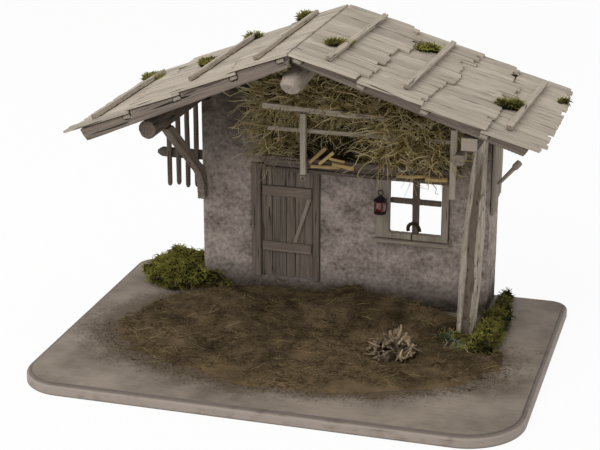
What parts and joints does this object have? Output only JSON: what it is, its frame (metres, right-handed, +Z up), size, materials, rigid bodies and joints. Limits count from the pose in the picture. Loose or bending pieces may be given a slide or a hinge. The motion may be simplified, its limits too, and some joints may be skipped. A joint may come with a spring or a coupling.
{
  "type": "nativity stable",
  "caption": "Rustic miniature stable with a boarded porch roof, plastered wall, opening plank door, hayloft gallery and mossy ground on a routed base board.",
  "frame": {"origin": "centre of the base board's outline, on the plane of its underside", "axes": "+X to the right along the long side, +Y from the open front to the back, +Z up"},
  "size_m": [0.48, 0.344, 0.3166],
  "materials": {
    "bare_board": "weathered grey-brown board, matt",
    "earth": "brown soil and sawdust glued down",
    "moss": "dried olive-green moss",
    "bark": "rough twig and bark",
    "plaster": "rough grey lime plaster, matt",
    "hay": "dry olive-tan hay",
    "fresh_wood": "paler split wood, matt",
    "iron": "dark blackened iron",
    "door_wood": "grey-brown weathered plank, matt",
    "shaded_wood": "dark grey-brown weathered softwood, matt",
    "weathered_wood": "silver-grey weathered softwood, matt and split"
  },
  "bodies": {
    "root": {"base_board": "bare_board", "earth_layer": "earth", "moss_bank_left": "moss", "moss_bank_right": "moss", "brushwood_heap": "bark", "wall_front": "plaster", "wall_left": "plaster", "wall_right": "plaster", "hay_fill": "hay", "door_hinge_rod": "iron", "door_frame": "door_wood", "window_frame": "door_wood", "window_bars": "door_wood", "rear_gable_boards": "shaded_wood", "loft_floor": "shaded_wood", "gallery_beam": "shaded_wood", "purlin_left": "shaded_wood", "knee_brace": "shaded_wood", "side_lattice": "shaded_wood", "rafter_rear_left": "shaded_wood", "rafter_rear_right": "shaded_wood", "lath_left_1": "shaded_wood", "lath_left_2": "shaded_wood", "lath_left_3": "shaded_wood", "lath_left_4": "shaded_wood", "lath_right_1": "shaded_wood", "lath_right_2": "shaded_wood", "lath_right_3": "shaded_wood", "lath_right_4": "shaded_wood", "side_boards_right": "weathered_wood", "gallery_rail_upper": "weathered_wood", "gallery_rail_lower": "weathered_wood", "baluster_left": "weathered_wood", "baluster_right": "weathered_wood", "ridge_log": "weathered_wood", "purlin_right": "weathered_wood", "rafter_front_left": "weathered_wood", "rafter_front_right": "weathered_wood", "porch_post": "weathered_wood", "side_peg": "weathered_wood", "window_sill": "weathered_wood", "board_course_left_1": "weathered_wood", "board_course_left_2": "weathered_wood", "board_course_left_3": "weathered_wood", "board_course_left_4": "weathered_wood", "board_course_right_1": "weathered_wood", "board_course_right_2": "weathered_wood", "board_course_right_3": "weathered_wood", "board_course_right_4": "weathered_wood", "top_batten_left_1": "weathered_wood", "top_batten_left_2": "weathered_wood", "top_batten_left_3": "weathered_wood", "top_batten_right_1": "weathered_wood", "top_batten_right_2": "weathered_wood", "top_batten_right_3": "weathered_wood"},
    "door": {"door_planks": "door_wood", "door_ledge_upper": "door_wood", "door_ledge_lower": "door_wood", "door_brace": "fresh_wood"},
    "lantern": {"lantern": "iron"}
  },
  "joints": [
    {"name": "door_hinge", "type": "hinge", "parent": "root", "child": "door", "pos_m": [-0.0777, 0.1112, 0.0303], "axis": [0, 0, 1], "range_deg": [0, 88]},
    {"name": "lantern_swing", "type": "hinge", "parent": "root", "child": "lantern", "pos_m": [0.0525, 0.092, 0.141], "axis": [0, 1, 0], "range_deg": [-25, 25]}
  ]
}
